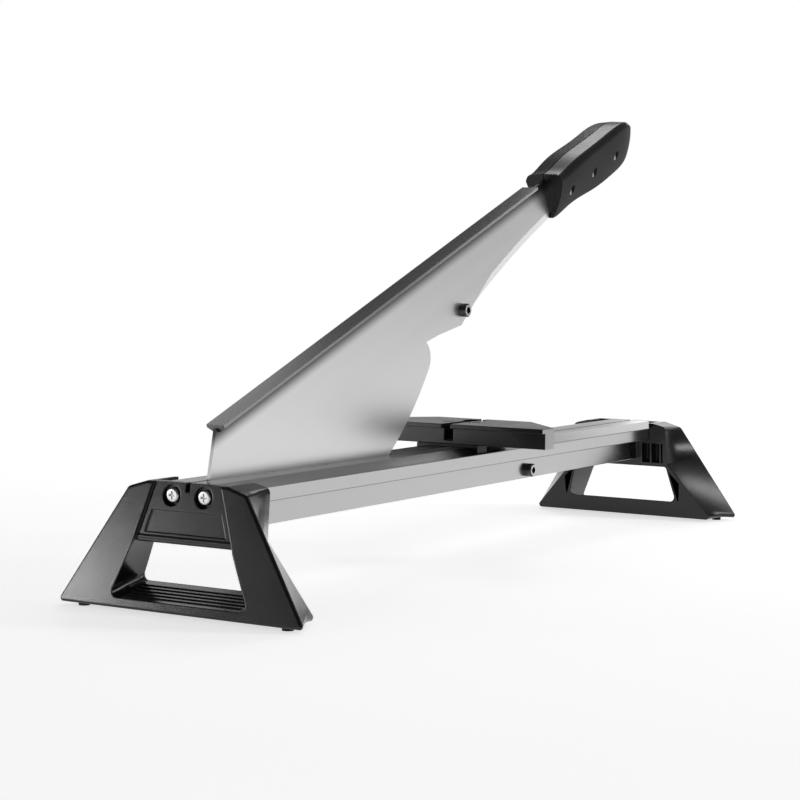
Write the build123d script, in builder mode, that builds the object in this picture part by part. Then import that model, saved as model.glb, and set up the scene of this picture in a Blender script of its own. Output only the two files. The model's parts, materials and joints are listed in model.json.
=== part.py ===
# Laminate flooring cutter: two moulded feet, two slotted rails, a fence and a hinged blade lever.
# Millimetres. X runs along the rails with the hinge at -X, Z is up, and the floor is Z = 0.
import os
from math import atan2, cos, hypot, radians, sin

from build123d import *

# Overall sizes
base_length = 806.0
table_height = 101.0
pad_height = 2.5
fit = 0.2

# Feet: a leaning slab that flares towards the floor
foot_depth_bottom = 37.0
foot_depth_top = 34.5
foot_lean = 13.0
foot_half_width_outer = 117.0
foot_half_width_inner = 103.0
foot_half_width_top = 38.0
outer_shoulder_drop = 5.3
outer_shoulder_half_width = 56.0
inner_shoulder_drop = 3.5
inner_shoulder_half_width = 53.2
inner_knee_drop = 42.5
inner_knee_half_width = 54.0
foot_edge_radius = 2.0
foot_edge_steps = 3
foot_shoulder_radius = 5.0
foot_corner_radius = 3.0

# Middle panel, the hand-hole under it with half widths at both faces, and the ridged sill
panel_half_width_top = 32.0
panel_flare = 0.32
panel_recess = 2.5
panel_lip_radius = 4.0
panel_lip_drop = 1.5
handhole_roof = 8.4
handhole_lead = 8.5
handhole_top_outer = 44.8
handhole_top_inner = 51.5
handhole_floor_outer = 66.0
handhole_floor_inner = 62.7
handhole_corner_radius = 5.0
handhole_top_radius = 3.0
sill_outer_height = 7.5
sill_inner_height = 16.2
ridge_count = 5
ridge_radius = 1.7
ridge_sink = 0.85
ridge_pitch = 5.6
badge_lift = 7.0
badge_gap = 3.1
badge_margin = 6.0
badge_recess = 1.2

# Inner side of the feet: ribbed pockets under the rail wings and pockets beside the hand-hole
pocket_roof = 3.6
pocket_height = 20.5
pocket_depth = 14.0
rib_thickness = 1.6
rib_pitch = 10.9
rib_first = 24.6
rib_count = 3  # ribs on each side of the inner face
rib_post = 4.0
side_pocket_rim = 2.5
side_pocket_width = 8.0
side_pocket_tip = 1.5
side_pocket_drop = 5.0
side_pocket_shoulder = 12.0
side_pocket_height = 30.0
side_pocket_depth = 20.0

# Rubber pads
pad_diameter = 9.0
pad_half_spacing = 96.5
pad_setback = 9.0
pad_peg_diameter = 5.0
pad_peg_length = 4.0

# Rails
rail_end_wall = 9.0
rail_flat_width = 20.0
rail_wing_run = 12.0
rail_wing_drop = 5.8
rail_lip_height = 11.4
rail_lip_thickness = 2.6
rail_height = 37.2
rail_wall = 2.4
rail_top_wall = 2.8
port_offset = 15.1
port_depth = 10.1
port_wall = 2.2
mark_diameter = 3.2
mark_pitch = 19.2
mark_count = 5
mark_reach = 62.0
mark_depth = 5.0
mark_offset = 4.2

# Foot screws
foot_screw_diameter = 5.8
foot_screw_length = 24.0
foot_screw_head_diameter = 12.0
foot_screw_head_height = 3.6
foot_screw_dome_radius = 1.8
foot_screw_recess_diameter = 16.5
foot_screw_recess_depth = 4.0
cross_recess_length = 6.0
cross_recess_width = 1.2
cross_recess_depth = 1.4
blade_notch_depth = 7.0

# Hinge of the lever
pivot_setback = 58.0
pivot_drop = 26.5
pivot_bolt_diameter = 8.0
pivot_head_width = 13.0
pivot_head_height = 5.5
pivot_nut_height = 8.0
bush_diameter = 12.0
bush_running_clearance = 0.05
thrust_washer_diameter = 26.0
thrust_washer_thickness = 0.4
thrust_washer_play = 0.1
flat_washer_diameter = 17.0
flat_washer_thickness = 1.6

# Tie bolt through both rails, and the peg on the lever, with their places from the hinge or the table
tie_reach = 456.2
tie_drop = 29.7
peg_reach = 363.8
peg_rise = 150.1
cap_head_diameter = 12.4
cap_head_height = 6.5
cap_head_chamfer = 1.0
cap_socket_width = 6.0
cap_socket_depth = 4.0
peg_bolt_diameter = 8.0
peg_nut_width = 13.0
peg_nut_height = 4.0
peg_tail = 1.0
tie_nut_height = 6.5
tie_spacer_diameter = 14.0

# Fence and its saddle
fence_reach = 344.0
fence_depth = 66.0
fence_end_depth = 16.0
fence_half_length = 99.5
fence_height = 18.5
fence_lip = 5.2
fence_lip_height = 4.0
fence_slot_width = 9.4
fence_tail_slot_width = 6.0
fence_slot_floor = 3.0
fence_wall = 3.5
fence_roof = 4.0
closing_angle = 15.5
peg_bay_clearance = 3.0
fence_block_half_width = 26.0
saddle_length = 34.0
saddle_nose = 3.0
saddle_half_width = 32.0
saddle_thickness = 2.0
saddle_wedge_length = 17.0
fence_screw_setback = 22.0
fence_screw_offset = 14.0
fence_screw_diameter = 5.0
fence_screw_head_diameter = 10.0
fence_screw_head_height = 2.4
fence_screw_dome_radius = 1.4
fence_screw_recess_diameter = 11.0
fence_screw_recess_depth = 2.6

# Lever plate: its corners are measured from the hinge, along the rails and up
plate_thickness = 3.0
lever_angle = 21.5
flange_corner = (-9.5, 68.4)
flange_width = 17.0
flange_edge = 2.5
flange_depth = 6.0
flange_seat = 3.0
flange_length = 541.0
plate_tail = 10.8
plate_overhang = 1.5
hinge_end_radius = 14.0
blade_radius = 300.7
blade_bevel_width = 7.0
blade_bevel_depth = 1.1
heel_corner = (-18.0, 27.5)
blade_root_corner = (180.0, -10.0)
blade_tip_corner = (306.0, 100.1)
nose_front = (308.0, 109.5)
nose_top = (300.3, 122.6)
arm_knee_corner = (321.0, 128.3)
lobe_low_corner = (362.1, 136.4)
lobe_high_corner = (380.0, 151.7)
arm_hollow = (436.0, 186.7)

# Handle: sections across the lever's own direction, from where it starts along the flange.
# Each section gives its shares of the length, of the rise above the axis, of the depth below it and of the
# width.
grip_start = 570.5
grip_drop = 19.5
grip_top = 27.0
grip_bottom = 26.4
grip_sections = [(0.0, 0.84, 0.87, 0.98), (0.139, 0.89, 0.865, 1.0), (0.401, 0.965, 0.925, 1.0),
                 (0.652, 0.98, 1.0, 0.97), (0.845, 0.87, 0.94, 0.84), (0.941, 0.58, 0.76, 0.56),
                 (1.0, 0.22, 0.32, 0.22)]
grip_length = 191.0
grip_half_width = 21.0
grip_facet_half_width = 17.0
grip_facet_drop = 1.0
grip_shoulder_drop = 7.0
grip_shoulder_radius = 4.5
grip_foot_half_width = 3.2
grip_side_bulge = 2.5
grip_mouth = 30.0
tang_half_height = 12.0
tang_margin = 24.0
tang_low = -21.2
grip_screw_count = 3
grip_screw_first = 28.7
grip_screw_pitch = 52.5
grip_screw_line = -4.5
grip_screw_diameter = 5.0
grip_screw_head_diameter = 9.0
grip_screw_head_height = 3.0
grip_screw_recess_diameter = 10.4
grip_screw_seat = 8.5
grip_nut_width = 8.0
grip_nut_height = 4.0

# Values worked out from the sizes above
foot_height = table_height - pad_height
foot_inner_lean = foot_lean - (foot_depth_bottom - foot_depth_top)
rail_setback = foot_lean + rail_end_wall
rail_half_length = base_length / 2 - rail_setback
slot_gap = plate_thickness + 2 * (thrust_washer_thickness + thrust_washer_play)
slot_half = slot_gap / 2
web_y = slot_half + rail_flat_width
lip_y = web_y + rail_wing_run
wing_edge_z = table_height - rail_wing_drop
lip_bottom_z = wing_edge_z - rail_lip_height
rail_bottom_z = table_height - rail_height
port_bore = foot_screw_diameter + fit
port_radius = port_bore / 2 + port_wall
port_z = table_height - port_depth
outer_foot_x = -base_length / 2
inner_foot_x = outer_foot_x + foot_depth_bottom
outer_shoulder_height = foot_height - outer_shoulder_drop
inner_shoulder_height = foot_height - inner_shoulder_drop
knee_height = foot_height - inner_knee_drop
outer_slope = (foot_half_width_outer - outer_shoulder_half_width) / outer_shoulder_height
outer_knee_half_width = foot_half_width_outer - outer_slope * knee_height
handhole_top = rail_bottom_z - pad_height - handhole_roof
badge_bottom = handhole_top + badge_lift
badge_top = foot_height - port_depth - foot_screw_recess_diameter / 2 - badge_gap
pocket_top = lip_bottom_z - fit - pad_height - pocket_roof
pivot_x = outer_foot_x + pivot_setback
pivot_height = table_height - pivot_drop


def foot_plane(x_at_floor, lean):
    """A plane on one leaning face of the left foot, with its own y axis running up the face."""
    return Plane((x_at_floor, 0, pad_height), x_dir=(0, -1, 0), z_dir=(-foot_height, 0, lean))


def up_face(height, lean):
    """Distance along a leaning face to a point at the given height above the foot's bottom."""
    return height * hypot(foot_height, lean) / foot_height


def face_x(x_at_floor, lean, height):
    """X of a leaning face at the given height above the foot's bottom."""
    return x_at_floor + lean * height / foot_height


def panel_half_width(height):
    """Half width of the panel at the given height above the foot's bottom."""
    return panel_half_width_top + panel_flare * (foot_height - height)


def across_foot(at_outer, at_inner, past_face):
    """Value that runs straight from one at the outer face to another at the inner face."""
    return at_outer + (at_inner - at_outer) * past_face / foot_depth_bottom


def hole_half_width(height):
    """Half width of the hand-hole beside the inner face at the given height above the foot's bottom."""
    share = (handhole_top - height) / (handhole_top - sill_inner_height)
    return handhole_top_inner + (handhole_floor_inner - handhole_top_inner) * share


def inset_corner(before, corner, after, inset):
    """Corner of an anticlockwise outline after both of its edges move in by the given amount."""
    arriving = (Vector(corner) - Vector(before)).normalized()
    leaving = (Vector(after) - Vector(corner)).normalized()
    first_in = Vector(-arriving.Y, arriving.X)
    second_in = Vector(-leaving.Y, leaving.X)
    moved = Vector(corner) + (first_in + second_in) * (inset / (1 + first_in.dot(second_in)))
    return (moved.X, moved.Y)


def foot_outline(plane, lean, side, inset):
    """Outline of one face of the foot from the corners of one side, set in from its full size."""
    right = [(half_width, up_face(height, lean)) for half_width, height in side]
    full = right + [(-half_width, rise) for half_width, rise in reversed(right)]
    count = len(full)
    corners = [inset_corner(full[i - 1], full[i], full[(i + 1) % count], inset) for i in range(count)]
    with BuildSketch(plane) as outline:
        Polygon(*corners, align=None)
        fillet(outline.vertices().group_by(Axis.Y)[-2], radius=foot_shoulder_radius - inset)
        fillet(outline.vertices().group_by(Axis.Y)[0], radius=foot_corner_radius - inset)
    return outline.sketch


# Left foot
outer_plane = foot_plane(outer_foot_x, foot_lean)
inner_plane = foot_plane(inner_foot_x, foot_inner_lean)
panel_plane = outer_plane.offset(-panel_recess)
panel_x = face_x(outer_foot_x, foot_lean, foot_height - port_depth) + panel_recess
screw_seat_x = panel_x + foot_screw_recess_depth
outer_side = [(foot_half_width_outer, 0), (outer_knee_half_width, knee_height),
              (outer_shoulder_half_width, outer_shoulder_height), (foot_half_width_top, foot_height)]
inner_side = [(foot_half_width_inner, 0), (inner_knee_half_width, knee_height),
              (inner_shoulder_half_width, inner_shoulder_height), (foot_half_width_top, foot_height)]
port_spots = [(-port_offset, port_z), (port_offset, port_z)]
pad_x = outer_foot_x + pad_setback
pad_spots = [(pad_x, -pad_half_spacing), (pad_x, pad_half_spacing)]
pocket_back_x = face_x(inner_foot_x, foot_inner_lean, pocket_top) - pocket_depth
rib_gap = rib_pitch - rib_thickness
last_gap_start = rib_first + (rib_count - 1) * rib_pitch + rib_thickness / 2
last_gap_end = inner_shoulder_half_width - rib_post

with BuildPart() as left_foot:
    # The outer edge is rounded by outlines that are set in along its arc
    outlines = []
    for i in range(foot_edge_steps + 1):
        turn = radians(90 * (1 - i / foot_edge_steps))
        back_x = outer_foot_x + foot_edge_radius * (1 - sin(turn))
        outlines.append(foot_outline(foot_plane(back_x, foot_lean), foot_lean, outer_side,
                                     foot_edge_radius * (1 - cos(turn))))
    outlines.append(foot_outline(inner_plane, foot_inner_lean, inner_side, 0))
    loft(outlines, ruled=True)
    # Middle panel, set back from the outer face, with the badge recess
    with BuildSketch(outer_plane):
        low = up_face(handhole_top - panel_recess, foot_lean)
        high = up_face(foot_height, foot_lean)
        low_half = panel_half_width(handhole_top - panel_recess)
        high_half = panel_half_width_top
        Polygon((low_half, low), (high_half, high), (-high_half, high), (-low_half, low), align=None)
    extrude(amount=-panel_recess, mode=Mode.SUBTRACT)
    with BuildSketch(panel_plane):
        low = up_face(badge_bottom, foot_lean)
        high = up_face(badge_top, foot_lean)
        low_half = panel_half_width(badge_bottom) - badge_margin
        high_half = panel_half_width(badge_top) - badge_margin
        Polygon((low_half, low), (high_half, high), (-high_half, high), (-low_half, low), align=None)
    extrude(amount=-badge_recess, mode=Mode.SUBTRACT)
    # Hand-hole, whose floor rises towards the inner side
    for past_face in (-handhole_lead, foot_depth_bottom + foot_lean + handhole_lead):
        floor = across_foot(sill_outer_height, sill_inner_height, past_face)
        low_half = across_foot(handhole_floor_outer, handhole_floor_inner, past_face)
        high_half = across_foot(handhole_top_outer, handhole_top_inner, past_face)
        with BuildSketch(Plane.YZ.offset(outer_foot_x + past_face)) as hole:
            with Locations((0, pad_height)):
                Polygon((low_half, floor), (high_half, handhole_top), (-high_half, handhole_top),
                        (-low_half, floor), align=None)
            fillet(hole.vertices().group_by(Axis.Y)[0], radius=handhole_corner_radius)
            fillet(hole.vertices().group_by(Axis.Y)[-1], radius=handhole_top_radius)
    loft(ruled=True, mode=Mode.SUBTRACT)
    # Rolled lip along the panel's lower edge
    lip_x = face_x(outer_foot_x, foot_lean, handhole_top) + panel_recess + panel_lip_radius
    lip_half = across_foot(handhole_top_outer, handhole_top_inner, lip_x - outer_foot_x) + panel_lip_drop
    with Locations((lip_x, 0, pad_height + handhole_top + panel_lip_radius - panel_lip_drop)):
        Cylinder(panel_lip_radius, 2 * lip_half, rotation=(90, 0, 0))
    # Grip ridges along the sill
    for i in range(ridge_count):
        past_face = foot_depth_bottom / 2 + (i - (ridge_count - 1) / 2) * ridge_pitch
        height = across_foot(sill_outer_height, sill_inner_height, past_face)
        floor_half = across_foot(handhole_floor_outer, handhole_floor_inner, past_face)
        ridge_length = 2 * (floor_half - 2 * handhole_corner_radius)
        with Locations((outer_foot_x + past_face, 0, pad_height + height - ridge_sink)):
            Cylinder(ridge_radius, ridge_length, rotation=(90, 0, 0))
    # Socket for the two rails
    with BuildSketch(Plane.YZ.offset(-rail_half_length)):
        with BuildLine():
            Polyline((0, rail_bottom_z), (web_y + fit, rail_bottom_z), (web_y + fit, lip_bottom_z - fit),
                     (lip_y + fit, lip_bottom_z - fit), (lip_y + fit, table_height + pad_height),
                     (0, table_height + pad_height), close=True)
        make_face()
        mirror(about=Plane.YZ)
    extrude(amount=rail_setback + foot_depth_bottom, mode=Mode.SUBTRACT)
    # Screw holes, their seats and the blade notch in the outer wall
    with BuildSketch(Plane.YZ.offset(screw_seat_x)):
        with Locations(*port_spots):
            Circle(foot_screw_recess_diameter / 2)
    extrude(amount=-rail_setback, mode=Mode.SUBTRACT)
    with BuildSketch(Plane.YZ.offset(screw_seat_x)):
        with Locations(*port_spots):
            Circle(foot_screw_diameter / 2 + fit)
    extrude(amount=rail_setback, mode=Mode.SUBTRACT)
    with BuildSketch(Plane.YZ.offset(outer_foot_x)):
        with Locations((0, table_height)):
            Rectangle(slot_gap, 2 * blade_notch_depth)
    extrude(amount=rail_setback, mode=Mode.SUBTRACT)
    # Ribbed pockets on the inner side, under the rail wings
    with BuildSketch(Plane.YZ.offset(pocket_back_x)) as pockets:
        middle_z = pad_height + pocket_top - pocket_height / 2
        for i in range(rib_count - 1):
            with Locations((rib_first + (i + 0.5) * rib_pitch, middle_z)):
                Rectangle(rib_gap, pocket_height)
        with Locations(((last_gap_start + last_gap_end) / 2, middle_z)):
            Rectangle(last_gap_end - last_gap_start, pocket_height)
        mirror(about=Plane.YZ)
    extrude(amount=pocket_depth + foot_depth_bottom, mode=Mode.SUBTRACT)
    # Narrow pockets beside the hand-hole, which leave its side walls as a rim
    with BuildSketch(Plane.YZ.offset(inner_foot_x - side_pocket_depth)):
        high = handhole_top - side_pocket_drop
        wide = high - side_pocket_shoulder
        low = high - side_pocket_height
        high_y = hole_half_width(high) + side_pocket_rim
        wide_y = hole_half_width(wide) + side_pocket_rim + side_pocket_width
        low_y = hole_half_width(low) + side_pocket_rim
        with Locations((0, pad_height)):
            Polygon((high_y, high), (wide_y, wide), (low_y + side_pocket_tip, low), (low_y, low), align=None)
        mirror(about=Plane.YZ)
    extrude(amount=side_pocket_depth + foot_depth_bottom, mode=Mode.SUBTRACT)
    # Sockets for the pads' pegs
    with BuildSketch(Plane.XY.offset(pad_height)):
        with Locations(*pad_spots):
            Circle(pad_peg_diameter / 2)
    extrude(amount=pad_peg_length, mode=Mode.SUBTRACT)

with BuildPart() as right_foot:
    mirror(left_foot.part, about=Plane.YZ)

# Rubber pads under the feet
with BuildPart() as left_foot_pads:
    with BuildSketch():
        with Locations(*pad_spots):
            Circle(pad_diameter / 2)
    extrude(amount=pad_height)
    with BuildSketch(Plane.XY.offset(pad_height)):
        with Locations(*pad_spots):
            Circle(pad_peg_diameter / 2)
    extrude(amount=pad_peg_length)

with BuildPart() as right_foot_pads:
    mirror(left_foot_pads.part, about=Plane.YZ)

# Screws through the left foot into the rails' screw ports
with BuildPart() as left_foot_screws:
    with BuildSketch(Plane.YZ.offset(screw_seat_x)):
        with Locations(*port_spots):
            Circle(foot_screw_head_diameter / 2)
    extrude(amount=-foot_screw_head_height)
    rims = left_foot_screws.edges().filter_by(GeomType.CIRCLE).group_by(Axis.X)[0]
    fillet(rims, radius=foot_screw_dome_radius)
    with BuildSketch(Plane.YZ.offset(screw_seat_x)):
        with Locations(*port_spots):
            Circle(foot_screw_diameter / 2)
    extrude(amount=foot_screw_length)
    with BuildSketch(Plane.YZ.offset(screw_seat_x - foot_screw_head_height)):
        with Locations(*port_spots):
            Rectangle(cross_recess_length, cross_recess_width)
            Rectangle(cross_recess_width, cross_recess_length)
    extrude(amount=cross_recess_depth, mode=Mode.SUBTRACT)

with BuildPart() as right_foot_screws:
    mirror(left_foot_screws.part, about=Plane.YZ)

# Rails: the front one is drawn, the rear one is its mirror image
wing_angle = atan2(rail_wing_drop, rail_wing_run)
wing_under = rail_lip_thickness / cos(wing_angle)
lip_inner_y = lip_y - rail_lip_thickness
lip_inner_z = table_height - wing_under - rail_wing_drop * (lip_inner_y - web_y) / rail_wing_run
fence_face_x = pivot_x + fence_reach
fence_screw_x = fence_face_x + fence_screw_setback
fence_screw_spots = [(fence_screw_x, -fence_screw_offset), (fence_screw_x, fence_screw_offset)]
tie_x = pivot_x + tie_reach
tie_height = table_height - tie_drop
bolt_spots = [(pivot_x, pivot_height, pivot_bolt_diameter), (tie_x, tie_height, peg_bolt_diameter)]

with BuildPart() as rear_rail:
    with BuildSketch(Plane.YZ.offset(-rail_half_length)):
        with BuildLine():
            Polyline((slot_half, rail_bottom_z), (web_y, rail_bottom_z), (web_y, table_height - wing_under),
                     (lip_inner_y, lip_inner_z), (lip_inner_y, lip_bottom_z), (lip_y, lip_bottom_z),
                     (lip_y, wing_edge_z), (web_y, table_height), (slot_half, table_height), close=True)
        make_face()
        with Locations((slot_half + rail_wall, rail_bottom_z + rail_wall)):
            Rectangle(rail_flat_width - 2 * rail_wall, rail_height - rail_wall - rail_top_wall,
                      align=(Align.MIN, Align.MIN), mode=Mode.SUBTRACT)
        with Locations((port_offset, port_z)):
            Circle(port_radius)
            with Locations(((web_y - port_offset) / 2, 0)):
                Rectangle(web_y - port_offset, port_radius)
            Circle(port_bore / 2, mode=Mode.SUBTRACT)
    extrude(amount=2 * rail_half_length)
    # Bolt holes across the box and the fence screw's hole in the top
    for x, z, diameter in bolt_spots:
        with BuildSketch(Plane.XZ):
            with Locations((x, z)):
                Circle(diameter / 2 + fit)
        extrude(amount=-(web_y + fit), mode=Mode.SUBTRACT)
    with BuildSketch(Plane.XY.offset(table_height)):
        with Locations(fence_screw_spots[1]):
            Circle(fence_screw_diameter / 2 + fit)
    extrude(amount=-rail_top_wall, mode=Mode.SUBTRACT)

with BuildPart() as front_rail:
    mirror(rear_rail.part, about=Plane.XZ)
    # Row of measuring marks beside the slot
    with BuildSketch(Plane.XY.offset(table_height)):
        for i in range(mark_count):
            with Locations((pivot_x + mark_reach + i * mark_pitch, -mark_offset)):
                Circle(mark_diameter / 2)
    extrude(amount=-mark_depth, mode=Mode.SUBTRACT)


def cap_bolt(x, z, seat_y, shank_length, shank_diameter):
    """Socket-head bolt along Y, whose head stands out from seat_y towards the front."""
    seat = Plane.XZ.offset(-seat_y)
    with BuildPart() as bolt:
        with BuildSketch(seat):
            with Locations((x, z)):
                Circle(cap_head_diameter / 2)
        extrude(amount=cap_head_height)
        chamfer(bolt.edges().group_by(Axis.Y)[0], length=cap_head_chamfer)
        with BuildSketch(seat):
            with Locations((x, z)):
                Circle(shank_diameter / 2)
        extrude(amount=-shank_length)
        with BuildSketch(seat.offset(cap_head_height)):
            with Locations((x, z)):
                RegularPolygon(cap_socket_width / 2, 6, major_radius=False)
        extrude(amount=-cap_socket_depth, mode=Mode.SUBTRACT)
    return bolt


def hex_nut(spots, seat_y, width, height, bore):
    """Hexagon nuts along Y that stand out from seat_y towards the rear."""
    with BuildPart() as nut:
        with BuildSketch(Plane.XZ.offset(-seat_y)):
            with Locations(*spots):
                RegularPolygon(width / 2, 6, major_radius=False)
                Circle(bore / 2, mode=Mode.SUBTRACT)
        extrude(amount=-height)
    return nut


def ring(x, z, start_y, length, outer_diameter, bore):
    """Plain ring along Y from start_y towards the rear."""
    with BuildPart() as sleeve:
        with BuildSketch(Plane.XZ.offset(-start_y)):
            with Locations((x, z)):
                Circle(outer_diameter / 2)
                Circle(bore / 2, mode=Mode.SUBTRACT)
        extrude(amount=-length)
    return sleeve


# Hinge: bolt, bush, thrust washers, flat washers and lock nut
washer_y = web_y + flat_washer_thickness
with BuildPart() as pivot_bolt:
    with BuildSketch(Plane.XZ.offset(washer_y)):
        with Locations((pivot_x, pivot_height)):
            RegularPolygon(pivot_head_width / 2, 6, major_radius=False)
    extrude(amount=pivot_head_height)
    with BuildSketch(Plane.XZ.offset(washer_y)):
        with Locations((pivot_x, pivot_height)):
            Circle(pivot_bolt_diameter / 2)
    extrude(amount=-(2 * washer_y + pivot_nut_height + slot_half))

pivot_bore = pivot_bolt_diameter + 2 * fit
pivot_nut = hex_nut([(pivot_x, pivot_height)], washer_y, pivot_head_width, pivot_nut_height, pivot_bore)
pivot_bush = ring(pivot_x, pivot_height, -slot_half, slot_gap, bush_diameter, pivot_bore)

with BuildPart() as pivot_flat_washers:
    add(ring(pivot_x, pivot_height, web_y, flat_washer_thickness, flat_washer_diameter, pivot_bore).part)
    mirror(about=Plane.XZ)

with BuildPart() as pivot_washers:
    add(ring(pivot_x, pivot_height, slot_half - thrust_washer_thickness, thrust_washer_thickness,
             thrust_washer_diameter, bush_diameter + 2 * fit).part)
    mirror(about=Plane.XZ)

# Tie bolt, its spacer in the slot and its nut
tie_bore = peg_bolt_diameter + 2 * fit
tie_bolt = cap_bolt(tie_x, tie_height, -web_y, 2 * web_y + tie_nut_height + slot_half, peg_bolt_diameter)
tie_spacer = ring(tie_x, tie_height, -slot_half, slot_gap, tie_spacer_diameter, tie_bore)
tie_nut = hex_nut([(tie_x, tie_height)], web_y, peg_nut_width, tie_nut_height, tie_bore)

# Fence saddle: a flat plate with wedges that sit on the slopes of both rails
fence_bottom_z = table_height + saddle_thickness
fence_top_z = fence_bottom_z + fence_height
saddle_start_x = fence_face_x - saddle_nose
wedge_low_z = table_height - rail_wing_drop * (saddle_half_width - web_y) / rail_wing_run

with BuildPart() as fence_saddle:
    with BuildSketch(Plane.XY.offset(table_height)):
        with Locations((saddle_start_x, 0)):
            Rectangle(saddle_length, 2 * saddle_half_width, align=(Align.MIN, Align.CENTER))
    extrude(amount=saddle_thickness)
    with BuildSketch(Plane.YZ.offset(saddle_start_x)):
        with BuildLine():
            Polyline((web_y, table_height), (saddle_half_width, wedge_low_z),
                     (saddle_half_width, table_height), close=True)
        make_face()
        mirror(about=Plane.YZ)
    extrude(amount=saddle_wedge_length)
    with BuildSketch(Plane.XY.offset(table_height)):
        with Locations(*fence_screw_spots):
            Circle(fence_screw_diameter / 2 + fit)
    extrude(amount=saddle_thickness, mode=Mode.SUBTRACT)

# Fence: straight face, 45 degree ends behind it, hollow arms and a slot for the lever's arm
fence_back_x = fence_face_x + fence_depth
fence_end_x = fence_face_x + fence_end_depth
fence_back_half = fence_half_length - (fence_depth - fence_end_depth)
fence_corners = [(fence_face_x, -fence_half_length), (fence_end_x, -fence_half_length),
                 (fence_back_x, -fence_back_half), (fence_back_x, fence_back_half),
                 (fence_end_x, fence_half_length), (fence_face_x, fence_half_length)]
closed_peg_angle = atan2(peg_rise, peg_reach) - radians(closing_angle)
bay_x = pivot_x + hypot(peg_reach, peg_rise) * cos(closed_peg_angle)
peg_bay_radius = plate_thickness / 2 + cap_head_height + peg_bay_clearance
fence_cut_length = fence_depth + fence_lip
fence_middle_x = fence_face_x + fence_depth / 2

with BuildPart() as fence:
    with BuildSketch(Plane.XY.offset(fence_bottom_z)):
        Polygon(*fence_corners, align=None)
    extrude(amount=fence_height)
    with BuildSketch(Plane.XY.offset(fence_top_z)):
        with Locations((fence_face_x, 0)):
            Rectangle(fence_lip, 2 * fence_half_length, align=(Align.MAX, Align.CENTER))
    extrude(amount=-fence_lip_height)
    with BuildSketch(Plane.XY.offset(fence_bottom_z)):
        Polygon(*fence_corners, align=None)
        offset(amount=-fence_wall, mode=Mode.REPLACE)
        with Locations((fence_middle_x, 0)):
            Rectangle(fence_depth, 2 * fence_block_half_width, mode=Mode.SUBTRACT)
    extrude(amount=fence_height - fence_roof, mode=Mode.SUBTRACT)
    with BuildSketch(Plane.XY.offset(fence_bottom_z + fence_slot_floor)):
        with Locations((bay_x, 0)):
            Circle(peg_bay_radius)
            Rectangle(fence_cut_length, fence_slot_width, align=(Align.MAX, Align.CENTER))
            Rectangle(fence_cut_length, fence_tail_slot_width, align=(Align.MIN, Align.CENTER))
    extrude(amount=fence_height, mode=Mode.SUBTRACT)
    with BuildSketch(Plane.XY.offset(fence_top_z)):
        with Locations(*fence_screw_spots):
            Circle(fence_screw_recess_diameter / 2)
    extrude(amount=-fence_screw_recess_depth, mode=Mode.SUBTRACT)
    with BuildSketch(Plane.XY.offset(fence_top_z)):
        with Locations(*fence_screw_spots):
            Circle(fence_screw_diameter / 2 + fit)
    extrude(amount=-fence_height, mode=Mode.SUBTRACT)

fence_screw_seat_z = fence_top_z - fence_screw_recess_depth
fence_screw_tip_z = port_z + port_radius + fit
with BuildPart() as fence_screws:
    with BuildSketch(Plane.XY.offset(fence_screw_seat_z)):
        with Locations(*fence_screw_spots):
            Circle(fence_screw_head_diameter / 2)
    extrude(amount=fence_screw_head_height)
    fillet(fence_screws.edges().group_by(Axis.Z)[-1], radius=fence_screw_dome_radius)
    with BuildSketch(Plane.XY.offset(fence_screw_seat_z)):
        with Locations(*fence_screw_spots):
            Circle(fence_screw_diameter / 2)
    extrude(amount=-(fence_screw_seat_z - fence_screw_tip_z))
    with BuildSketch(Plane.XY.offset(fence_screw_seat_z + fence_screw_head_height)):
        with Locations(*fence_screw_spots):
            Rectangle(cross_recess_length, cross_recess_width)
            Rectangle(cross_recess_width, cross_recess_length)
    extrude(amount=-cross_recess_depth, mode=Mode.SUBTRACT)

# Lever: points are given along the flange's top line and square to it
lever_cos = cos(radians(lever_angle))
lever_sin = sin(radians(lever_angle))


def on_lever(origin, along, above):
    """Point in the lever's plane, a distance along and above the lever's own direction from an origin."""
    x, z = origin
    return (x + along * lever_cos - above * lever_sin, z + along * lever_sin + above * lever_cos)


def from_pivot(corner):
    """Point in the lever's plane, from its distances along and above the hinge's axis."""
    along, above = corner
    return (pivot_x + along, pivot_height + above)


flange_start = from_pivot(flange_corner)
grip_origin = on_lever(flange_start, grip_start, -grip_drop)
plate_top = grip_drop - flange_seat
tang_top = grip_screw_line + tang_half_height
tang_bottom = grip_screw_line - tang_half_height
tang_end = grip_length - tang_margin
grip_screw_stations = [grip_screw_first + i * grip_screw_pitch for i in range(grip_screw_count)]
grip_screw_spots = [on_lever(grip_origin, s, grip_screw_line) for s in grip_screw_stations]
peg_x, peg_height = from_pivot((peg_reach, peg_rise))
hinge_left = (pivot_x - hinge_end_radius, pivot_height)
hinge_low = (pivot_x, pivot_height - hinge_end_radius)
hinge_slant = hinge_end_radius * cos(radians(45))
hinge_corner = (pivot_x - hinge_slant, pivot_height - hinge_slant)
heel = from_pivot(heel_corner)
blade_tip = from_pivot(blade_tip_corner)
lobe_high = from_pivot(lobe_high_corner)
arm_end = on_lever(grip_origin, 0, tang_low)

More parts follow.
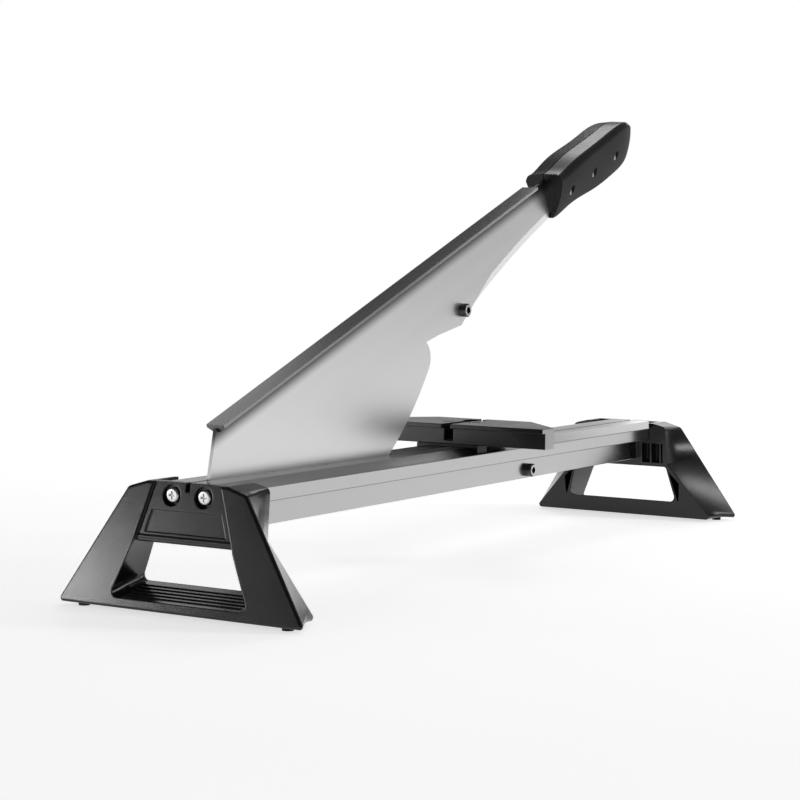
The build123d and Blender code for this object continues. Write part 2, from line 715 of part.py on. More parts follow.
with BuildPart() as blade_plate:
    with BuildSketch(Plane.XZ):
        with BuildLine():
            Polyline(heel, on_lever(flange_start, -plate_overhang, -flange_seat),
                     on_lever(grip_origin, plate_tail, plate_top),
                     on_lever(grip_origin, plate_tail, tang_top),
                     on_lever(grip_origin, tang_end, tang_top), on_lever(grip_origin, tang_end, tang_bottom),
                     on_lever(grip_origin, plate_tail, tang_bottom), arm_end)
            ThreePointArc(arm_end, from_pivot(arm_hollow), lobe_high)
            Polyline(lobe_high, from_pivot(lobe_low_corner), from_pivot(arm_knee_corner),
                     from_pivot(nose_top))
            ThreePointArc(from_pivot(nose_top), from_pivot(nose_front), blade_tip)
            RadiusArc(blade_tip, from_pivot(blade_root_corner), blade_radius)
            Line(from_pivot(blade_root_corner), hinge_low)
            ThreePointArc(hinge_low, hinge_corner, hinge_left)
            Line(hinge_left, heel)
        make_face()
        with Locations((pivot_x, pivot_height)):
            Circle(bush_diameter / 2 + bush_running_clearance, mode=Mode.SUBTRACT)
        with Locations((peg_x, peg_height)):
            Circle(peg_bolt_diameter / 2 + fit, mode=Mode.SUBTRACT)
        with Locations(*grip_screw_spots):
            Circle(grip_screw_diameter / 2 + fit, mode=Mode.SUBTRACT)
    extrude(amount=plate_thickness / 2, both=True)
    # Bevels on both sides of the round cutting edge
    sides = blade_plate.faces().sort_by(Axis.Y)
    for side in (sides[0], sides[-1]):
        edge = side.edges().filter_by(GeomType.CIRCLE).sort_by(SortBy.RADIUS)[-1]
        chamfer(edge, length=blade_bevel_width, length2=blade_bevel_depth, reference=side)

with BuildPart() as top_flange:
    start_x, start_z = flange_start
    across = Plane((start_x, 0, start_z), x_dir=(0, 1, 0), z_dir=(lever_cos, 0, lever_sin))
    with BuildSketch(across):
        with BuildLine():
            Polyline((0, 0), (flange_width / 2, 0), (flange_width / 2, -flange_edge),
                     (plate_thickness, -flange_depth), (plate_thickness / 2, -flange_depth),
                     (plate_thickness / 2, -flange_seat), (0, -flange_seat), close=True)
        make_face()
        mirror(about=Plane.YZ)
    extrude(amount=flange_length)

lever_peg = cap_bolt(peg_x, peg_height, -plate_thickness / 2, plate_thickness + peg_nut_height + peg_tail,
                     peg_bolt_diameter)
lever_peg_nut = hex_nut([(peg_x, peg_height)], plate_thickness / 2, peg_nut_width, peg_nut_height, tie_bore)

# Handle: one rounded body through cross sections, parted along the plate
with BuildPart() as grip_body:
    for length_share, top_share, bottom_share, share in grip_sections:
        x, z = on_lever(grip_origin, length_share * grip_length, 0)
        top = top_share * grip_top
        bottom = -bottom_share * grip_bottom
        half = grip_half_width * share
        facet = grip_facet_half_width * share
        facet_height = top - grip_facet_drop * share
        shoulder = top - grip_shoulder_drop * share
        side = ((half + grip_foot_half_width * share) / 2 + grip_side_bulge * share, (shoulder + bottom) / 2)
        foot_half = grip_foot_half_width * share
        with BuildSketch(Plane((x, 0, z), x_dir=(0, 1, 0), z_dir=(lever_cos, 0, lever_sin))) as section:
            with BuildLine():
                Polyline((-half, shoulder), (-facet, facet_height), (0, top), (facet, facet_height),
                         (half, shoulder))
                ThreePointArc((half, shoulder), side, (foot_half, bottom))
                Line((foot_half, bottom), (-foot_half, bottom))
                ThreePointArc((-foot_half, bottom), (-side[0], side[1]), (-half, shoulder))
            make_face()
            corners = section.vertices().filter_by(lambda v, edge=facet: abs(v.X) > edge - fit)
            fillet(corners, radius=grip_shoulder_radius * share)
    loft()

tang_pocket = [(-grip_mouth, plate_top + fit), (plate_tail + fit, plate_top + fit),
               (plate_tail + fit, tang_top + fit), (tang_end + fit, tang_top + fit),
               (tang_end + fit, tang_bottom - fit), (plate_tail + fit, tang_bottom - fit),
               (0, tang_low - fit), (-grip_mouth, tang_low - fit)]


def grip_half(keep, seat_sign):
    """One half of the handle with its share of the tang's pocket and the screw recesses."""
    with BuildPart() as half:
        add(grip_body.part)
        split(bisect_by=Plane.XZ, keep=keep)
        with BuildSketch(Plane.XZ):
            Polygon(*[on_lever(grip_origin, along, above) for along, above in tang_pocket], align=None)
        extrude(amount=plate_thickness / 2, both=True, mode=Mode.SUBTRACT)
        with BuildSketch(Plane.XZ):
            with Locations(*grip_screw_spots):
                Circle(grip_screw_diameter / 2 + fit)
        extrude(amount=grip_half_width, both=True, mode=Mode.SUBTRACT)
        with BuildSketch(Plane.XZ.offset(seat_sign * grip_screw_seat)):
            with Locations(*grip_screw_spots):
                Circle(grip_screw_recess_diameter / 2)
        extrude(amount=seat_sign * grip_half_width, mode=Mode.SUBTRACT)
    return half


grip_front_half = grip_half(Keep.TOP, 1)
grip_rear_half = grip_half(Keep.BOTTOM, -1)

with BuildPart() as grip_screws:
    with BuildSketch(Plane.XZ.offset(grip_screw_seat)):
        with Locations(*grip_screw_spots):
            Circle(grip_screw_head_diameter / 2)
    extrude(amount=grip_screw_head_height)
    with BuildSketch(Plane.XZ.offset(grip_screw_seat)):
        with Locations(*grip_screw_spots):
            Circle(grip_screw_diameter / 2)
    extrude(amount=-(2 * grip_screw_seat + grip_nut_height))

grip_nuts = hex_nut(grip_screw_spots, grip_screw_seat, grip_nut_width, grip_nut_height,
                    grip_screw_diameter + 2 * fit)

pieces = {
    "left_foot": left_foot, "right_foot": right_foot,
    "left_foot_pads": left_foot_pads, "right_foot_pads": right_foot_pads,
    "left_foot_screws": left_foot_screws, "right_foot_screws": right_foot_screws,
    "front_rail": front_rail, "rear_rail": rear_rail,
    "pivot_bolt": pivot_bolt, "pivot_flat_washers": pivot_flat_washers, "pivot_bush": pivot_bush,
    "pivot_washers": pivot_washers, "pivot_nut": pivot_nut,
    "tie_bolt": tie_bolt, "tie_spacer": tie_spacer, "tie_nut": tie_nut,
    "fence": fence, "fence_saddle": fence_saddle, "fence_screws": fence_screws,
    "blade_plate": blade_plate, "top_flange": top_flange,
    "lever_peg": lever_peg, "lever_peg_nut": lever_peg_nut,
    "grip_front_half": grip_front_half, "grip_rear_half": grip_rear_half,
    "grip_screws": grip_screws, "grip_nuts": grip_nuts,
}
os.makedirs("parts", exist_ok=True)
for name, piece in pieces.items():
    piece.part.label = name
    export_step(piece.part, f"parts/{name}.step")
    print(f"{name}: {len(piece.part.solids())} solids, {piece.part.volume / 1000:.1f} cm3")
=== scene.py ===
# %% [markdown]
# # A laminate flooring cutter, dressed for a studio picture
# The cutter's solids come from its CAD model, already in place and in metres. This lesson puts a camera and
# soft light round them, gives each surface its finish and rounds the edges that a mould or a file would round.
# Loading comes first, because the last step takes each piece and the slot of its finish from the frame.

import json
from math import cos, pi, radians, sin

import bmesh
import bpy
from mathutils import Matrix, Vector

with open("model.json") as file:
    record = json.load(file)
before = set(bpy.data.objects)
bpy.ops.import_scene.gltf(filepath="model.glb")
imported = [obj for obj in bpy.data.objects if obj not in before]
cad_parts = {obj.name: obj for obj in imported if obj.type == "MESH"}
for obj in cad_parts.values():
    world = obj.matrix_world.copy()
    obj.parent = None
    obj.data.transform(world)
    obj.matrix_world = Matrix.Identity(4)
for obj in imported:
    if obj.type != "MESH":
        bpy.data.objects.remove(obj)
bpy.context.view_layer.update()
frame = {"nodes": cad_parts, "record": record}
scene = bpy.context.scene
scene.view_settings.view_transform = "Standard"

# %% [markdown]
# ## The camera
# The picture was taken from low down, past the left foot, with a long lens, so that the rails run away to the
# right. A camera can be aimed by hand or by a constraint. Here it is placed by three angles and an eye point,
# because those are the numbers that a photographer could repeat.

# %% Camera
eye_point = Vector((-1.61537, -0.94717, 0.27185))
camera_turn = radians(-58.23)
camera_drop = radians(3.95)
camera_roll = radians(0.56)
lens_length = 92.605
film_width = 36
far_limit = 200

camera_data = bpy.data.cameras.new("camera")
camera_data.lens = lens_length
camera_data.sensor_width = film_width
camera_data.clip_end = far_limit
camera = bpy.data.objects.new("camera", camera_data)
scene.collection.objects.link(camera)
camera.matrix_world = (Matrix.Translation(eye_point) @ Matrix.Rotation(camera_turn, 4, "Z")
                       @ Matrix.Rotation(radians(90) - camera_drop, 4, "X")
                       @ Matrix.Rotation(camera_roll, 4, "Z"))
scene.camera = camera
print("camera at", [round(value, 3) for value in eye_point])

# %% [markdown]
# ## The studio
# A white floor runs off to a white horizon. The floor could be one bright plane, but then it would carry no
# shadow. So it is plain white paint near the cutter, with a little glow that only the camera and mirror-like
# surfaces see, and it fades to full white further out, where the edge of a paper sweep would be. Only metal
# sees that the paper ends in front of the cutter and that the room beyond it is grey.

# %% Helpers for shader nodes
def new_node(tree, kind, **values):
    """Adds a shader node and sets its plain settings or its input values by name."""
    node = tree.nodes.new("ShaderNode" + kind)
    for name, value in values.items():
        label = name.replace("_", " ").capitalize()
        if hasattr(node, name):
            setattr(node, name, value)
        elif label in node.inputs:
            node.inputs[label].default_value = value
        else:
            node.inputs[name.replace("_", " ").title()].default_value = value
    return node


def join(tree, source, target):
    """Links an output socket to an input socket."""
    tree.links.new(target, source)


def math_node(tree, operation, first, second):
    """Adds a Math node; each side is a socket or a number."""
    node = tree.nodes.new("ShaderNodeMath")
    node.operation = operation
    for socket, value in zip(node.inputs, (first, second)):
        if isinstance(value, (int, float)):
            socket.default_value = value
        else:
            join(tree, value, socket)
    return node.outputs[0]


def seen_directly(tree):
    """Mask of the rays that look straight at a surface or see it in a reflection."""
    rays = tree.nodes.new("ShaderNodeLightPath")
    mirrored = math_node(tree, "MAXIMUM", rays.outputs["Is Glossy Ray"], rays.outputs["Is Transmission Ray"])
    return math_node(tree, "MAXIMUM", rays.outputs["Is Camera Ray"], mirrored)


# %% Floor
floor_half_size = 40.0
floor_white = (0.86, 0.86, 0.86, 1)
floor_glow = 0.66
shadow_reach = 0.75
fade_length = 0.9
paper_end = -0.9
room_start = -7.0
room_grey = 0.34

floor_mesh = bpy.data.meshes.new("floor")
shape = bmesh.new()
bmesh.ops.create_grid(shape, x_segments=1, y_segments=1, size=floor_half_size)
shape.to_mesh(floor_mesh)
shape.free()
floor = bpy.data.objects.new("floor", floor_mesh)
scene.collection.objects.link(floor)

paper = bpy.data.materials.new("paper_floor")
paper.use_nodes = True
tree = paper.node_tree
tree.nodes.clear()
surface = tree.nodes.new("ShaderNodeOutputMaterial")
paint = tree.nodes.new("ShaderNodeBsdfDiffuse")
paint.inputs["Color"].default_value = floor_white
glow = tree.nodes.new("ShaderNodeEmission")
glow.inputs["Strength"].default_value = floor_glow
near_floor = tree.nodes.new("ShaderNodeAddShader")
far_floor = tree.nodes.new("ShaderNodeEmission")
front = tree.nodes.new("ShaderNodeSeparateXYZ")
room = new_node(tree, "MapRange", from_min=room_start, from_max=paper_end, to_min=room_grey)
beyond = tree.nodes.new("ShaderNodeLightPath")
grey_for_metal = tree.nodes.new("ShaderNodeMix")
grey_for_metal.inputs["A"].default_value = 1
shown = tree.nodes.new("ShaderNodeMixShader")
chosen = tree.nodes.new("ShaderNodeMixShader")
place = tree.nodes.new("ShaderNodeTexCoord")
distance = tree.nodes.new("ShaderNodeVectorMath")
distance.operation = "LENGTH"
fade = new_node(tree, "MapRange", from_min=shadow_reach, from_max=shadow_reach + fade_length)
join(tree, place.outputs["Object"], distance.inputs[0])
join(tree, distance.outputs["Value"], fade.inputs["Value"])
join(tree, place.outputs["Object"], front.inputs[0])
join(tree, front.outputs["Y"], room.inputs["Value"])
join(tree, beyond.outputs["Is Glossy Ray"], grey_for_metal.inputs["Factor"])
join(tree, room.outputs[0], grey_for_metal.inputs["B"])
join(tree, grey_for_metal.outputs["Result"], far_floor.inputs["Strength"])
join(tree, paint.outputs[0], near_floor.inputs[0])
join(tree, glow.outputs[0], near_floor.inputs[1])
join(tree, fade.outputs[0], shown.inputs[0])
join(tree, near_floor.outputs[0], shown.inputs[1])
join(tree, far_floor.outputs[0], shown.inputs[2])
join(tree, seen_directly(tree), chosen.inputs[0])
join(tree, paint.outputs[0], chosen.inputs[1])
join(tree, shown.outputs[0], chosen.inputs[2])
join(tree, chosen.outputs[0], surface.inputs["Surface"])
floor_mesh.materials.append(paper)
print("floor", 2 * floor_half_size, "m wide")

# %% [markdown]
# ## The light
# Bare metal shows what stands round it, so the light matters as much as the finish. The room could be one even
# grey, but then a flat plate would be one flat tone. So the room has two sides. In front of the cutter it is
# grey and darkens upwards, which gives the tall plate its fall of tone. Behind it stands a white backdrop,
# which the camera sees everywhere and metal sees as a low band at the right. The wall above that band is dark,
# which keeps the flange and the handle dark, and the left half of the room is dimmer.

# %% World
front_stops = [(0.0, 0.28), (0.06, 0.18), (0.36, 0.14), (1.0, 0.40)]
back_stops = [(0.0, 0.42), (0.15, 0.36), (0.36, 0.16), (0.72, 0.16), (1.0, 0.40)]
backdrop_top = 0.16
side_blend = 0.15
left_dimming = 0.4

world = bpy.data.worlds.new("studio")
scene.world = world
world.use_nodes = True
tree = world.node_tree
tree.nodes.clear()
sky = tree.nodes.new("ShaderNodeOutputWorld")
backdrop = tree.nodes.new("ShaderNodeBackground")
room = tree.nodes.new("ShaderNodeBackground")
either = tree.nodes.new("ShaderNodeMixShader")
direction = tree.nodes.new("ShaderNodeTexCoord")
split = tree.nodes.new("ShaderNodeSeparateXYZ")
rays = tree.nodes.new("ShaderNodeLightPath")
side = new_node(tree, "MapRange", from_min=-side_blend, from_max=side_blend)
walls = tree.nodes.new("ShaderNodeMix")
join(tree, direction.outputs["Generated"], split.inputs[0])
join(tree, split.outputs["Y"], side.inputs["Value"])
join(tree, side.outputs[0], walls.inputs["Factor"])
dimmer = new_node(tree, "MapRange", from_min=-side_blend, from_max=side_blend, to_min=left_dimming)
join(tree, split.outputs["X"], dimmer.inputs["Value"])
for stops, socket in ((front_stops, walls.inputs["A"]), (back_stops, walls.inputs["B"])):
    ramp = tree.nodes.new("ShaderNodeValToRGB")
    bar = ramp.color_ramp
    while len(bar.elements) < len(stops):
        bar.elements.new(1.0)
    for element, (height, grey) in zip(bar.elements, stops):
        element.position = height
        element.color = (grey, grey, grey, 1)
    join(tree, split.outputs["Z"], ramp.inputs[0])
    join(tree, math_node(tree, "MULTIPLY", ramp.outputs["Color"], dimmer.outputs[0]), socket)
join(tree, walls.outputs["Result"], room.inputs["Color"])
band = new_node(tree, "MapRange", from_max=backdrop_top, to_min=1.0, to_max=0.0)
right = new_node(tree, "MapRange", from_min=-side_blend, from_max=side_blend)
join(tree, split.outputs["Z"], band.inputs["Value"])
join(tree, split.outputs["X"], right.inputs["Value"])
place_of_backdrop = math_node(tree, "MULTIPLY", side.outputs[0], right.outputs[0])
seen_in_metal = math_node(tree, "MULTIPLY", math_node(tree, "MULTIPLY", place_of_backdrop, band.outputs[0]),
                          seen_directly(tree))
join(tree, math_node(tree, "MAXIMUM", rays.outputs["Is Camera Ray"], seen_in_metal), either.inputs[0])
join(tree, room.outputs[0], either.inputs[1])
join(tree, backdrop.outputs[0], either.inputs[2])
join(tree, either.outputs[0], sky.inputs["Surface"])
backdrop.inputs["Color"].default_value = (1, 1, 1, 1)
backdrop.inputs["Strength"].default_value = 1
print("room in front", front_stops, "behind", back_stops)

# %% [markdown]
# ## Soft boxes
# Lamps could be points, but then every gloss would be a dot. So each is a soft box, placed where one surface
# mirrors it: overhead for the handle's front slope, low at the left for the broad sheen on the near foot, at
# the right for that foot's flank, behind for the ridges on its sill, and beside for the far foot's flank.

# %% Soft boxes
def soft_box(name, centre, target, width, height, radiance):
    """Area light of the given size that faces a point; its power follows from how bright it looks."""
    data = bpy.data.lights.new(name, "AREA")
    data.shape = "RECTANGLE"
    data.size = width
    data.size_y = height
    data.energy = radiance * width * height * pi
    lamp = bpy.data.objects.new(name, data)
    scene.collection.objects.link(lamp)
    lamp.location = centre
    lamp.rotation_euler = (Vector(centre) - Vector(target)).to_track_quat("Z", "Y").to_euler()
    lamp.visible_camera = False
    print(name, round(data.energy, 2), "W")
    return lamp


soft_box("overhead_box", (1.49, 0.54, 1.76), (0.28, 0.0, 0.4), width=0.62, height=0.74, radiance=3.6)
soft_box("left_box", (-1.39, 1.32, 0.085), (-0.4, 0.1, 0.04), width=0.63, height=0.13, radiance=28.0)
soft_box("right_box", (2.3, 0.0, 0.63), (0.3, 0.0, 0.1), width=1.9, height=0.9, radiance=1.0)
soft_box("back_box", (0.79, 1.47, 1.22), (-0.36, 0.0, 0.05), width=0.65, height=0.6, radiance=1.2)
soft_box("flank_box", (0.90, -1.75, 1.0), (0.39, -0.08, 0.07), width=0.28, height=1.3, radiance=8.5)

# %% [markdown]
# ## Finishes that several pieces share
# Moulded plastic, drawn aluminium and ground steel all have a fine texture that breaks up a reflection. Each
# texture is a node group with its own sockets: it is drawn once and then placed in several materials, where
# its size and strength are set for that piece.

# %% Node groups
line_stretch = 50.0
lever_rise = radians(21.5)


def new_group(name, inputs, outputs):
    """Empty shader node group with float inputs and outputs, and its two end nodes."""
    group = bpy.data.node_groups.new(name, "ShaderNodeTree")
    for label, value in inputs:
        socket = group.interface.new_socket(label, in_out="INPUT", socket_type="NodeSocketFloat")
        socket.default_value = value
    for label in outputs:
        group.interface.new_socket(label, in_out="OUTPUT", socket_type="NodeSocketFloat")
    return group, group.nodes.new("NodeGroupInput"), group.nodes.new("NodeGroupOutput")


def moulded_grain():
    """Fine spark-eroded grain of a mould: raised specks for the bump and patches of wear for the gloss."""
    group, given, made = new_group("moulded_grain", [("Specks per metre", 1100.0), ("Patches per metre", 14.0)],
                                   ["Height", "Patches"])
    place = group.nodes.new("ShaderNodeTexCoord")
    specks = new_node(group, "TexNoise", detail=3.0, roughness=0.62)
    patches = new_node(group, "TexNoise", detail=4.0, roughness=0.55)
    for texture, count in ((specks, "Specks per metre"), (patches, "Patches per metre")):
        join(group, place.outputs["Object"], texture.inputs["Vector"])
        join(group, given.outputs[count], texture.inputs["Scale"])
    join(group, specks.outputs["Fac"], made.inputs["Height"])
    join(group, patches.outputs["Fac"], made.inputs["Patches"])
    return group


def drawn_lines(name, rise):
    """Fine lines that a die or a belt leaves along a rising direction, with broad bands of tone."""
    group, given, made = new_group(name, [("Lines per metre", 900.0), ("Bands per metre", 30.0)],
                                   ["Height", "Bands"])
    place = group.nodes.new("ShaderNodeTexCoord")
    squeeze = group.nodes.new("ShaderNodeMapping")
    squeeze.vector_type = "TEXTURE"
    squeeze.inputs["Rotation"].default_value = (0, -rise, 0)
    squeeze.inputs["Scale"].default_value = (line_stretch, 1, 1)
    lines = new_node(group, "TexNoise", detail=2.0, roughness=0.5)
    bands = new_node(group, "TexNoise", detail=3.0, roughness=0.5)
    join(group, place.outputs["Object"], squeeze.inputs["Vector"])
    for texture, count in ((lines, "Lines per metre"), (bands, "Bands per metre")):
        join(group, squeeze.outputs["Vector"], texture.inputs["Vector"])
        join(group, given.outputs[count], texture.inputs["Scale"])
    join(group, lines.outputs["Fac"], made.inputs["Height"])
    join(group, bands.outputs["Fac"], made.inputs["Bands"])
    return group


grain = moulded_grain()
lines_along_rails = drawn_lines("lines_along_rails", rise=0.0)
lines_along_lever = drawn_lines("lines_along_lever", rise=lever_rise)
print("node groups", [group.name for group in bpy.data.node_groups])

# %% [markdown]
# ## A material for each finish
# The record names a slot for each finish. A material could be painted with pictures, but noise on object
# coordinates has no seams and fits every piece. Colour, gloss and bump all come from the groups above.

# %% Material helpers
noise_low = 0.3
noise_high = 0.7
edge_samples = 8


def plain_shader(name, metallic):
    """Material with a Principled shader and its constants set on the shader itself."""
    material = bpy.data.materials.new(name)
    material.use_nodes = True
    shader = material.node_tree.nodes["Principled BSDF"]
    shader.inputs["Metallic"].default_value = metallic
    return material, material.node_tree, shader


def place_group(tree, group, **values):
    """Puts a node group in a material and sets its inputs by name."""
    node = tree.nodes.new("ShaderNodeGroup")
    node.node_tree = group
    for name, value in values.items():
        node.inputs[name.replace("_", " ").capitalize()].default_value = value
    return node


def vary_grey(tree, mask, dark, light, target):
    """Feeds a colour socket with a grey that changes from dark to light over a mask."""
    mix = tree.nodes.new("ShaderNodeMix")
    mix.inputs["A"].default_value = dark
    mix.inputs["B"].default_value = light
    join(tree, mask, mix.inputs["Factor"])
    join(tree, mix.outputs["Result"], target)


def vary_value(tree, mask, low, high, target):
    """Feeds a number socket with a value that changes from low to high over a mask."""
    span = new_node(tree, "MapRange", from_min=noise_low, from_max=noise_high, to_min=low, to_max=high)
    join(tree, mask, span.inputs["Value"])
    join(tree, span.outputs[0], target)


def add_bump(tree, height, depth, edge_radius, shader):
    """Raises the surface by a height field of the given depth and rounds its edges, both in metres."""
    bump = tree.nodes.new("ShaderNodeBump")
    bump.inputs["Distance"].default_value = depth
    if edge_radius:
        edge = tree.nodes.new("ShaderNodeBevel")
        edge.samples = edge_samples
        edge.inputs["Radius"].default_value = edge_radius
        join(tree, edge.outputs["Normal"], bump.inputs["Normal"])
    join(tree, height, bump.inputs["Height"])
    join(tree, bump.outputs["Normal"], shader.inputs["Normal"])


# %% Plastics
def moulded_plastic(name, dark, light, smooth, rough, specks, depth, edge_radius, mirror):
    """Black moulding: fine grain, with gloss that changes in soft patches."""
    material, tree, shader = plain_shader(name, metallic=0.0)
    shader.inputs["Specular IOR Level"].default_value = mirror
    texture = place_group(tree, grain, specks_per_metre=specks)
    vary_grey(tree, texture.outputs["Patches"], dark, light, shader.inputs["Base Color"])
    vary_value(tree, texture.outputs["Patches"], smooth, rough, shader.inputs["Roughness"])
    add_bump(tree, texture.outputs["Height"], depth, edge_radius, shader)
    return material


finishes = {
    "foot_plastic": moulded_plastic("foot_plastic", dark=0.007, light=0.011, smooth=0.18, rough=0.23,
                                    specks=650.0, depth=0.00006, edge_radius=0.0012, mirror=0.45),
    "fence_plastic": moulded_plastic("fence_plastic", dark=0.005, light=0.009, smooth=0.22, rough=0.28,
                                     specks=1300.0, depth=0.00003, edge_radius=0.0010, mirror=0.3),
    "grip_plastic": moulded_plastic("grip_plastic", dark=0.006, light=0.010, smooth=0.24, rough=0.29,
                                    specks=1100.0, depth=0.00003, edge_radius=0.0010, mirror=0.3),
    "pad_rubber": moulded_plastic("pad_rubber", dark=0.018, light=0.026, smooth=0.70, rough=0.85,
                                  specks=700.0, depth=0.00010, edge_radius=0.0006, mirror=0.4),
}
print("plastics", sorted(finishes))

# %% Metals
fitting_patches = 90.0
belt_spread = 0.3


def drawn_metal(name, group, dark, light, smooth, rough, lines, depth, edge_radius):
    """Bare metal with fine lines along one direction."""
    material, tree, shader = plain_shader(name, metallic=1.0)
    texture = place_group(tree, group, lines_per_metre=lines)
    vary_grey(tree, texture.outputs["Bands"], dark, light, shader.inputs["Base Color"])
    vary_value(tree, texture.outputs["Bands"], smooth, rough, shader.inputs["Roughness"])
    add_bump(tree, texture.outputs["Height"], depth, edge_radius, shader)
    return material


def turned_metal(name, dark, light, smooth, rough, specks, depth, edge_radius):
    """Plated or oxidised steel of small fittings: an even grain with no direction."""
    material, tree, shader = plain_shader(name, metallic=1.0)
    texture = place_group(tree, grain, specks_per_metre=specks, patches_per_metre=fitting_patches)
    vary_grey(tree, texture.outputs["Patches"], dark, light, shader.inputs["Base Color"])
    vary_value(tree, texture.outputs["Patches"], smooth, rough, shader.inputs["Roughness"])
    add_bump(tree, texture.outputs["Height"], depth, edge_radius, shader)
    return material


finishes.update({
    "rail_aluminium": drawn_metal("rail_aluminium", lines_along_rails, dark=0.40, light=0.60, smooth=0.16,
                                  rough=0.28, lines=420.0, depth=0.000008, edge_radius=0.0007),
    "blade_steel": drawn_metal("blade_steel", lines_along_lever, dark=0.75, light=0.83, smooth=0.30,
                               rough=0.34, lines=1800.0, depth=0.000002, edge_radius=0.0),
    "flange_steel": drawn_metal("flange_steel", lines_along_lever, dark=0.17, light=0.23, smooth=0.22,
                                rough=0.30, lines=1800.0, depth=0.000002, edge_radius=0.0003),
    "saddle_steel": turned_metal("saddle_steel", dark=0.02, light=0.03, smooth=0.35, rough=0.45,
                                 specks=1500.0, depth=0.00001, edge_radius=0.0004),
    "zinc_screw": turned_metal("zinc_screw", dark=0.44, light=0.54, smooth=0.22, rough=0.32,
                               specks=2600.0, depth=0.000012, edge_radius=0.0004),
    "black_steel": turned_metal("black_steel", dark=0.06, light=0.10, smooth=0.28, rough=0.40,
                                specks=2600.0, depth=0.00002, edge_radius=0.0005),
    "hidden_steel": turned_metal("hidden_steel", dark=0.42, light=0.52, smooth=0.30, rough=0.42,
                                 specks=2600.0, depth=0.00002, edge_radius=0.0003),
})
# The belt runs along the lever, so that a reflection spreads across its lines
belt_tree = finishes["blade_steel"].node_tree
belt_shader = belt_tree.nodes["Principled BSDF"]
belt_shader.inputs["Anisotropic"].default_value = belt_spread
across_lines = new_node(belt_tree, "CombineXYZ", X=-sin(lever_rise), Z=cos(lever_rise))
turned = new_node(belt_tree, "VectorTransform", vector_type="VECTOR", convert_from="OBJECT",
                  convert_to="WORLD")
join(belt_tree, across_lines.outputs[0], turned.inputs[0])
join(belt_tree, turned.outputs[0], belt_shader.inputs["Tangent"])
print("finishes", sorted(finishes))

# %% [markdown]
# ## Bare places, painted shade and a painted highlight
# The fence's cut ends, the flange's edges and the turned ends of the dark bolts show bare metal. The rails have
# painted shade lines at their crease and under their lip, the plate has painted shade along its joint with the
# flange, and the handle has dull sides and a dull line where its halves meet. The flange's edges carry a
# painted highlight that grows brighter towards the handle. Each could be a piece of its own, but the faces are
# already
# there, so a mask picks the place out: by where it is, or by the way it faces.

# %% Places with a finish of their own
def axes_of(tree, kind):
    """Splits where a surface is, or the way it faces, into X, Y and Z."""
    place = tree.nodes.new("ShaderNodeTexCoord")
    parts = tree.nodes.new("ShaderNodeSeparateXYZ")
    join(tree, place.outputs[kind], parts.inputs[0])
    return parts.outputs


def far_from_middle(tree, half_width):
    """Mask of the points further from the middle plane than a half width."""
    away = math_node(tree, "ABSOLUTE", axes_of(tree, "Object")["Y"], 0.0)
    return math_node(tree, "GREATER_THAN", away, half_width)


def square_to_middle(tree, steepness):
    """Mask of the faces that lie parallel to the middle plane."""
    facing = math_node(tree, "ABSOLUTE", axes_of(tree, "Normal")["Y"], 0.0)
    return math_node(tree, "GREATER_THAN", facing, steepness)


def at_heights(tree, heights, half_line):
    """Mask of thin level lines at some heights above the floor."""
    level = axes_of(tree, "Object")["Z"]
    found = 0.0
    for height in heights:
        away = math_node(tree, "ABSOLUTE", math_node(tree, "SUBTRACT", level, height), 0.0)
        found = math_node(tree, "MAXIMUM", math_node(tree, "LESS_THAN", away, half_line), found)
    return found


def near_flange(tree, joint, reach):
    """Mask that rises from nothing to one towards the plate's joint with the flange."""
    place = tree.nodes.new("ShaderNodeTexCoord")
    climb = new_node(tree, "VectorMath", operation="DOT_PRODUCT")
    climb.inputs[1].default_value = (-sin(lever_rise), 0, cos(lever_rise))
    band = new_node(tree, "MapRange", interpolation_type="SMOOTHSTEP", from_min=joint - reach, from_max=joint)
    join(tree, place.outputs["Object"], climb.inputs[0])
    join(tree, climb.outputs["Value"], band.inputs["Value"])
    return band.outputs[0]


def towards_handle(tree, start, end):
    """Mask that rises from nothing to one along the cutter, towards the handle."""
    rise = new_node(tree, "MapRange", from_min=start, from_max=end)
    join(tree, axes_of(tree, "Object")["X"], rise.inputs["Value"])
    return rise.outputs[0]


def metal_where(material, mask, grey, gloss):
    """Turns a finish into metal of another grey and gloss where a mask is one."""
    tree = material.node_tree
    shader = tree.nodes["Principled BSDF"]
    for name, value in (("Base Color", grey), ("Roughness", gloss), ("Metallic", 1.0)):
        target = shader.inputs[name]
        cover = tree.nodes.new("ShaderNodeMix")
        cover.inputs["B"].default_value = value
        if target.is_linked:
            join(tree, target.links[0].from_socket, cover.inputs["A"])
        else:
            cover.inputs["A"].default_value = target.default_value
        join(tree, mask, cover.inputs["Factor"])
        join(tree, cover.outputs["Result"], target)


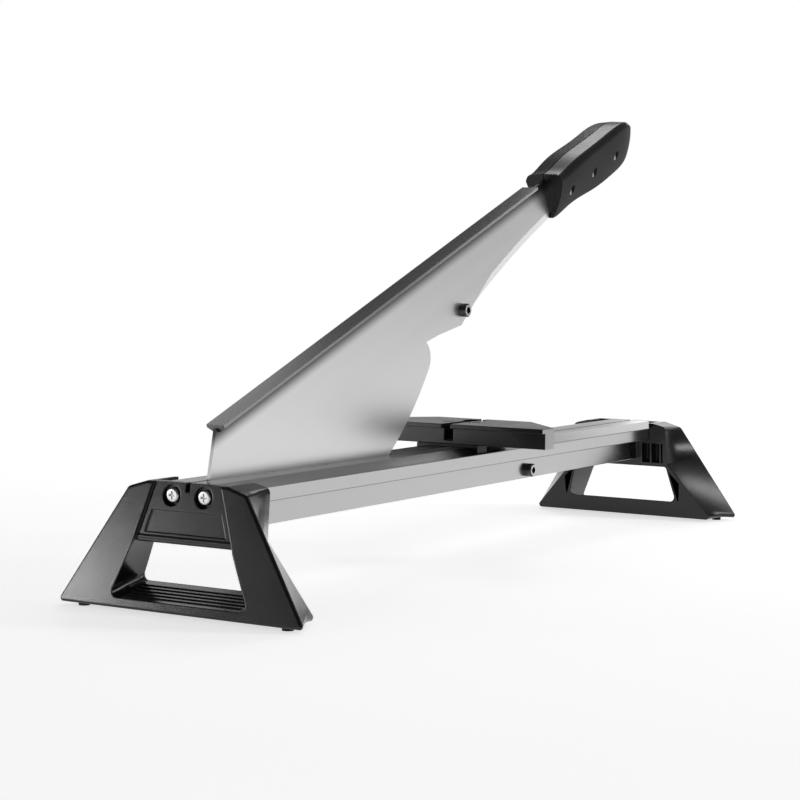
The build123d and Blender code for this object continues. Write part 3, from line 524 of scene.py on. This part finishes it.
def dull_where(material, mask, gloss):
    """Makes a finish duller where a mask is one."""
    tree = material.node_tree
    target = tree.nodes["Principled BSDF"].inputs["Roughness"]
    cover = tree.nodes.new("ShaderNodeMix")
    cover.inputs["B"].default_value = gloss
    join(tree, mask, cover.inputs["Factor"])
    join(tree, target.links[0].from_socket, cover.inputs["A"])
    join(tree, cover.outputs["Result"], target)


handle = finishes["grip_plastic"]
parting_half_width = 0.0006
beside_parting = far_from_middle(handle.node_tree, parting_half_width)
parting_line = math_node(handle.node_tree, "SUBTRACT", 1.0, beside_parting)
dull_where(handle, square_to_middle(handle.node_tree, steepness=0.8), gloss=0.7)
dull_where(handle, parting_line, gloss=1.0)
fence_end_half = 0.0993
cut_ends = finishes["fence_plastic"]
metal_where(cut_ends, far_from_middle(cut_ends.node_tree, fence_end_half), grey=0.38, gloss=0.30)
# Painted shade: darker metal lines on the rails at the crease of the wing and under the lip
crease_shade_heights = [0.0951, 0.0842]
drawn_rails = finishes["rail_aluminium"]
painted_crease_shade = at_heights(drawn_rails.node_tree, crease_shade_heights, half_line=0.0003)
metal_where(drawn_rails, painted_crease_shade, grey=0.28, gloss=0.35)
# Painted shade: the plate is darkened in a band below the flange, where the flange shades it
flange_joint = 0.2575
belt_plate = finishes["blade_steel"]
painted_shade_under_flange = near_flange(belt_plate.node_tree, flange_joint, reach=0.013)
metal_where(belt_plate, painted_shade_under_flange, grey=0.10, gloss=0.30)
flat_face = 0.98
flange_edges = finishes["flange_steel"]
edge_faces = square_to_middle(flange_edges.node_tree, flat_face)
# Painted highlight: the flange's edge faces turn bright metal, more so towards the handle
highlight_towards_handle = towards_handle(flange_edges.node_tree, start=-0.10, end=0.20)
painted_edge_highlight = math_node(flange_edges.node_tree, "MULTIPLY", edge_faces, highlight_towards_handle)
metal_where(flange_edges, edge_faces, grey=0.30, gloss=0.22)
metal_where(flange_edges, painted_edge_highlight, grey=0.90, gloss=0.22)
dark_bolts = finishes["black_steel"]
metal_where(dark_bolts, square_to_middle(dark_bolts.node_tree, flat_face), grey=0.55, gloss=0.25)
print("places on", cut_ends.name, drawn_rails.name, belt_plate.name, flange_edges.name, dark_bolts.name)

# %% [markdown]
# ## Dressing the solids
# Each solid already carries a slot that names its finish in the record. Changing the material in the slot is
# enough for a solid whose shape is right, and it keeps the shape as it is.

# %% Give each solid its finish
slot_of = {row["node"]: row["material_slot"] for row in frame["record"]["subparts"]}
for name, solid in frame["nodes"].items():
    for material_slot in solid.material_slots:
        material_slot.material = finishes[slot_of[name]]
print("dressed", len(slot_of), "solids")
